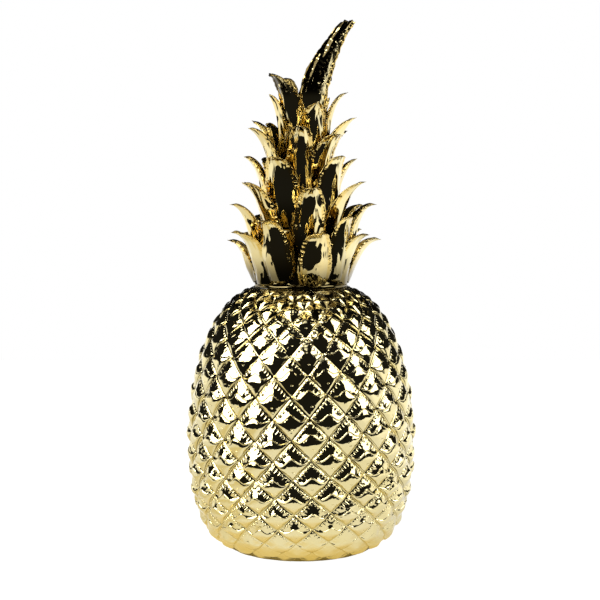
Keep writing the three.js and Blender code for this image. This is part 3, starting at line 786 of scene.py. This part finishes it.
def scaleCombGroup(own, scale):
    # height, in metres, of the short ribs that stand along the two upper borders of a scale, and of the
    # small nick below its middle; the scale's own map gives the place along its two spirals from 0 to 1
    tree, given, out = newGroup("scaleComb", [
        ("Place", "Vector", None), ("Luck", "Vector", None), ("Ribs", "Float", 7.0),
        ("Comb", "Float", 0.0002), ("Nick", "Float", 0.0003), ("Lip", "Float", 0.0003),
    ], [("Height", "Float", None)])
    a, b, _ = partsOf(tree, given["Place"])
    luckA, luckB, _ = partsOf(tree, given["Luck"])

    def comb(lengthwise, outwards, luck):
        count = mathNode(tree, "MULTIPLY_ADD", luck, own["ribsSpread"], given["Ribs"])
        wave = mathNode(tree, "SINE", productNode(tree, lengthwise, count, 2 * math.pi))
        reach = mathNode(tree, "MULTIPLY_ADD", luck, own["bandSpread"], own["bandFrom"])
        band = productNode(
            tree, easedNode(tree, outwards, reach, own["bandTop"]), fadedNode(tree, outwards, *own["bandEnd"])
        )
        ends = productNode(
            tree, easedNode(tree, lengthwise, *own["rowStart"]), fadedNode(tree, lengthwise, *own["rowEnd"])
        )
        ribbed = productNode(tree, easedNode(tree, wave, *own["ribShape"]), productNode(tree, band, ends))
        # a row of small pits along the border, one between each two ribs
        row = productNode(
            tree, easedNode(tree, outwards, *own["pitsFrom"]), fadedNode(tree, outwards, *own["pitsTo"])
        )
        pits = productNode(tree, fadedNode(tree, wave, *own["pitShape"]), ends, row)
        return mathNode(tree, "MULTIPLY_ADD", pits, -own["pitShare"], ribbed)

    def squared(value, reach):
        return mathNode(tree, "POWER", mathNode(tree, "DIVIDE", value, reach), 2.0)

    def hump(value, reach):
        return mathNode(tree, "EXPONENT", mathNode(tree, "MULTIPLY", squared(value, reach), -1.0))

    ribs = mathNode(tree, "ADD", comb(a, b, luckA), comb(b, a, luckB))
    # the nick is a short slanted cut, its place a little different on each scale and left out on some
    nickA, nickB = (
        mathNode(tree, "SUBTRACT", side, mathNode(tree, "MULTIPLY_ADD", luck, own["nickSpread"], middle))
        for side, luck, middle in zip((a, b), (luckA, luckB), own["nickPlace"])
    )
    upwards = squared(mathNode(tree, "ADD", nickA, nickB), own["nickHalfWidths"][0])
    sideways = squared(mathNode(tree, "SUBTRACT", nickA, nickB), own["nickHalfWidths"][1])
    nick = fadedNode(tree, mathNode(tree, "ADD", upwards, sideways), *own["nickEdge"])
    nick = productNode(tree, nick, easedNode(tree, luckA, *own["nickChance"]))
    # the lip is a thin bead along the bract's upper edge, on the same line as in scaleLift
    across = mathNode(tree, "SUBTRACT", a, b)
    width = mathNode(tree, "ABSOLUTE", across)
    shift, tilt = (
        productNode(tree, mathNode(tree, "SUBTRACT", luck, 0.5), scale[spread])
        for luck, spread in ((luckB, "shiftSpread"), (luckA, "tiltSpread"))
    )
    dip = hump(mathNode(tree, "SUBTRACT", width, scale["crestDipAt"]), scale["crestDipWidth"])
    dip = productNode(tree, dip, mathNode(tree, "MULTIPLY_ADD", shift, across, 1.0))
    crest = productNode(tree, hump(across, scale["crestPeakWidth"]), scale["crestPeak"])
    crest = mathNode(tree, "ADD", mathNode(tree, "MULTIPLY_ADD", dip, -scale["crestDip"], crest), tilt)
    crest = productNode(tree, crest, fadedNode(tree, width, *reversed(scale["crestEnds"])))
    up = mathNode(tree, "SUBTRACT", mathNode(tree, "ADD", a, b), 1.0)
    lip = hump(mathNode(tree, "SUBTRACT", up, crest), own["lipWidth"])
    lip = productNode(tree, lip, fadedNode(tree, width, *own["lipEnds"]))
    height = mathNode(tree, "MULTIPLY_ADD", lip, given["Lip"], productNode(tree, ribs, given["Comb"]))
    height = mathNode(tree, "SUBTRACT", height, productNode(tree, nick, given["Nick"]))
    tree.links.new(height, out["Height"])
    return tree


glazeTone = glazeToneGroup(glazeValues)
glazeRipple = rippleGroup(glazeValues)
scaleComb = scaleCombGroup(combValues, fruitValues)


def goldGlaze(name, own, depth, extraHeight, lines, flow):
    # depth, extraHeight, the mask of painted shade and flow are functions that add nodes to the tree and return
    # a socket
    material, tree = newMaterial(name)
    tone = groupNode(tree, glazeTone, {
        "Vector": objectPlace(tree), "Depth": depth(tree, own), "Pale": glazeValues["pale"],
        "Deep": own["deep"], "Patchiness": own["patchiness"], "Dullness": own["dullness"],
    })
    ripple = groupNode(tree, glazeRipple, {
        "Vector": flow(tree, own), "Ripple": own["ripple"], "Dents": own["dents"],
    })["Height"]
    height = mathNode(tree, "ADD", ripple, extraHeight(tree, own))
    bump = addNode(tree, "ShaderNodeBump", {"Height": height, "Strength": 1.0, "Distance": 1.0})
    # the base colour is darkened towards the painted shade's dark colour wherever the mask of painted shade
    # lies
    glaze = addNode(tree, "ShaderNodeBsdfPrincipled", {
        "Base Color": mixedColour(tree, lines(tree, own), tone["Color"], own["line"]),
        "Roughness": tone["Roughness"], "Metallic": 1.0, "Normal": bump.outputs[0],
    })
    addNode(tree, "ShaderNodeOutputMaterial", {0: glaze.outputs[0]})
    return material


# Glaze on the fruit: borders are counted inwards from the groove's middle, as shares of a scale's side;
# heights above the table and bump depths are in metres
fruitGlazeValues = {
    "deep": (0.78, 0.645, 0.24, 1), "patchiness": 0.3, "dullness": 0.03, "ripple": 0.0003, "dents": 0.00003,
    "grooveReach": (0.45, 0.5), "grooveDepth": 0.4,
    # the dark colour of the painted shade in the grooves' thin lines, and where it lies, fainter near the foot
    "line": (0.10, 0.07, 0.018, 1), "lineStart": (0.009, 0.015), "lineEnd": (0.024, 0.038), "lineStrength": 0.8,
    "faintFoot": (0.012, 0.05), "footLine": 0.3,
    # painted shade in patches close under the lid
    "neckFrom": (0.140, 0.150), "neckShade": 0.92, "patchScale": 210.0, "patchRange": (0.44, 0.56),
    "smoothFoot": (0.008, 0.035), "footRelief": 0.15, "smoothTop": (0.10, 0.13), "topRelief": 0.4,
}


def fromScaleMiddle(tree):
    # 0 in the scale's middle, 0.5 in the grooves around it
    a, b, _ = partsOf(tree, mapPlace(tree, "scaleMap"))
    return mathNode(tree, "MAXIMUM", offsetNode(tree, a, 0.5), offsetNode(tree, b, 0.5))


def fruitDepth(tree, own):
    # deeper gold in the grooves between the scales
    return easedNode(tree, fromScaleMiddle(tree), *own["grooveReach"], 0.0, own["grooveDepth"])


def fruitShade(tree, own):
    # painted shade: 1 in a thin dark line on either side of the bead between two scales, and fainter near the
    # foot
    border = mathNode(tree, "SUBTRACT", 0.5, fromScaleMiddle(tree))
    lines = productNode(
        tree, easedNode(tree, border, *own["lineStart"]),
        easedNode(tree, border, *own["lineEnd"], own["lineStrength"], 0.0),
    )
    place = objectPlace(tree)
    up = partsOf(tree, place)[2]
    lines = productNode(tree, lines, easedNode(tree, up, *own["faintFoot"], own["footLine"], 1.0))
    # close under the lid, painted shade darkens the gold in patches
    patches = noiseNode(tree, place, own["patchScale"])
    patches = easedNode(tree, patches, *own["patchRange"], 0.0, own["neckShade"])
    return mathNode(tree, "MAXIMUM", lines, productNode(tree, patches, easedNode(tree, up, *own["neckFrom"])))


def fruitComb(tree, own):
    # the lowest scales are nearly smooth, and the highest ones smoother than the rest
    height = groupNode(tree, scaleComb, {
        "Place": mapPlace(tree, "scaleMap"), "Luck": mapPlace(tree, "luckMap"), "Ribs": combValues["ribs"],
        "Comb": combValues["ribHeight"], "Nick": combValues["nickDepth"], "Lip": combValues["lipHeight"],
    })["Height"]
    up = partsOf(tree, objectPlace(tree))[2]
    return productNode(
        tree, height, easedNode(tree, up, *own["smoothFoot"], own["footRelief"], 1.0),
        easedNode(tree, up, *own["smoothTop"], 1.0, own["topRelief"]),
    )


def fruitFlow(tree, own):
    return objectPlace(tree)


# Glaze on the crown: out is how far from a leaf's middle line, from 0 to 1 at its margins and from 2 on its
# inner side, across is the same with its sign, and along is in millimetres from the leaf's root
crownGlazeValues = {
    "deep": (0.79, 0.585, 0.195, 1), "patchiness": 0.5, "dullness": 0.03, "ripple": 0.0015, "dents": 0.000006,
    "run": (0.011, 0.0005, 0), "drift": 0.4,
    "lowAlong": (0.0, 26.0), "lowDepth": 0.3, "rimOut": (0.62, 0.82),
    # the dark brown of the painted shade, and where it darkens the tall leaf, with specks left gold
    "line": (0.035, 0.025, 0.008, 1), "tallLeafFrom": (0.274, 0.280),
    "shadeAcross": (0.55, 0.7), "shadeNoise": 120.0, "shadeSwing": 0.5,
    "speckNoise": 420.0, "speckRange": (0.60, 0.66), "speckShade": (0.97, 0.1),
    # painted shade on the leaves' inner sides and low on every leaf, between its neighbours
    "innerOut": (1.5, 2.0), "innerShade": 0.55, "rootAlong": (2.0, 22.0), "rootShade": 0.85,
    "pitDepth": 0.00022, "pitPitch": 2.1, "pitShape": (-0.1, 0.7), "pitDriftNoise": 100.0, "pitDrift": 14.0,
    "pitsFrom": (0.74, 0.80), "pitsTo": (0.88, 0.93), "pitsAlong": (8.0, 16.0),
    "pitNoise": 160.0, "pitRange": (0.46, 0.62), "grainHeight": 0.00025, "grainNoise": 450.0,
    "grainRange": (0.46, 0.72), "grainAcross": (0.0, 0.4), "grainLeft": 0.3,
}


def leafPlace(tree):
    across, along, _ = partsOf(tree, mapPlace(tree, "leafMap"))
    return across, mathNode(tree, "ABSOLUTE", across), along


def tallLeafMask(tree, own, place):
    # 1 on the tall leaf, which alone stands so high
    return easedNode(tree, partsOf(tree, place)[2], *own["tallLeafFrom"])


def crownFlow(tree, own):
    # the glaze has run down the leaves: its ripples are long along each leaf and short across it
    run = vectorNode(tree, "MULTIPLY", {0: mapPlace(tree, "leafMap"), 1: own["run"]})
    drift = vectorNode(tree, "SCALE", {0: objectPlace(tree), 3: own["drift"]})
    return vectorNode(tree, "ADD", {0: run, 1: drift})


def crownDepth(tree, own):
    # deeper gold low on each leaf and along its rims
    _, out, along = leafPlace(tree)
    low = easedNode(tree, along, *own["lowAlong"], own["lowDepth"], 0.0)
    return mathNode(tree, "MAXIMUM", low, easedNode(tree, out, *own["rimOut"]))


def crownShade(tree, own):
    # painted shade darkens the tall leaf's gold to dark brown but for specks, on all but its right side
    place = objectPlace(tree)
    across, out, along = leafPlace(tree)
    edge = mathNode(tree, "MULTIPLY_ADD", noiseNode(tree, place, own["shadeNoise"]), own["shadeSwing"], across)
    leafShade = productNode(
        tree, tallLeafMask(tree, own, place), fadedNode(tree, edge, *own["shadeAcross"]),
        easedNode(tree, noiseNode(tree, place, own["speckNoise"]), *own["speckRange"], *own["speckShade"]),
    )
    # painted shade darkens the leaves' inner sides too, and low on every leaf, between its neighbours
    leafShade = mathNode(tree, "MAXIMUM", leafShade, easedNode(tree, out, *own["innerOut"], 0.0, own["innerShade"]))
    return mathNode(tree, "MAXIMUM", leafShade, easedNode(tree, along, *own["rootAlong"], own["rootShade"], 0.0))


def crownPits(tree, own):
    # a row of small pits just inside each rim, uneven and broken, and none on the tall leaf
    place = objectPlace(tree)
    across, out, along = leafPlace(tree)
    tall = tallLeafMask(tree, own, place)
    drift = productNode(tree, noiseNode(tree, place, own["pitDriftNoise"]), own["pitDrift"])
    wave = mathNode(tree, "SINE", mathNode(tree, "MULTIPLY_ADD", along, 2 * math.pi / own["pitPitch"], drift))
    pits = productNode(
        tree, easedNode(tree, out, *own["pitsFrom"]), fadedNode(tree, out, *own["pitsTo"]),
        easedNode(tree, wave, *own["pitShape"]), easedNode(tree, along, *own["pitsAlong"]),
        easedNode(tree, noiseNode(tree, place, own["pitNoise"]), *own["pitRange"]),
        mathNode(tree, "SUBTRACT", 1.0, tall), -own["pitDepth"],
    )
    # the tall leaf is grainy all over, and most on its right side
    grain = productNode(
        tree, easedNode(tree, noiseNode(tree, place, own["grainNoise"]), *own["grainRange"]),
        easedNode(tree, across, *own["grainAcross"], own["grainLeft"], 1.0), tall,
    )
    return mathNode(tree, "MULTIPLY_ADD", grain, own["grainHeight"], pits)


fruit.data.materials.append(
    goldGlaze("fruitGlaze", fruitGlazeValues, fruitDepth, fruitComb, fruitShade, fruitFlow))
crown.data.materials.append(
    goldGlaze("crownGlaze", crownGlazeValues, crownDepth, crownPits, crownShade, crownFlow))
print("glaze applied")

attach(fruit, "root")
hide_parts("fruit_jar")
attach(crown, "root")
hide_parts("crown_lid")

print("pieces in place")
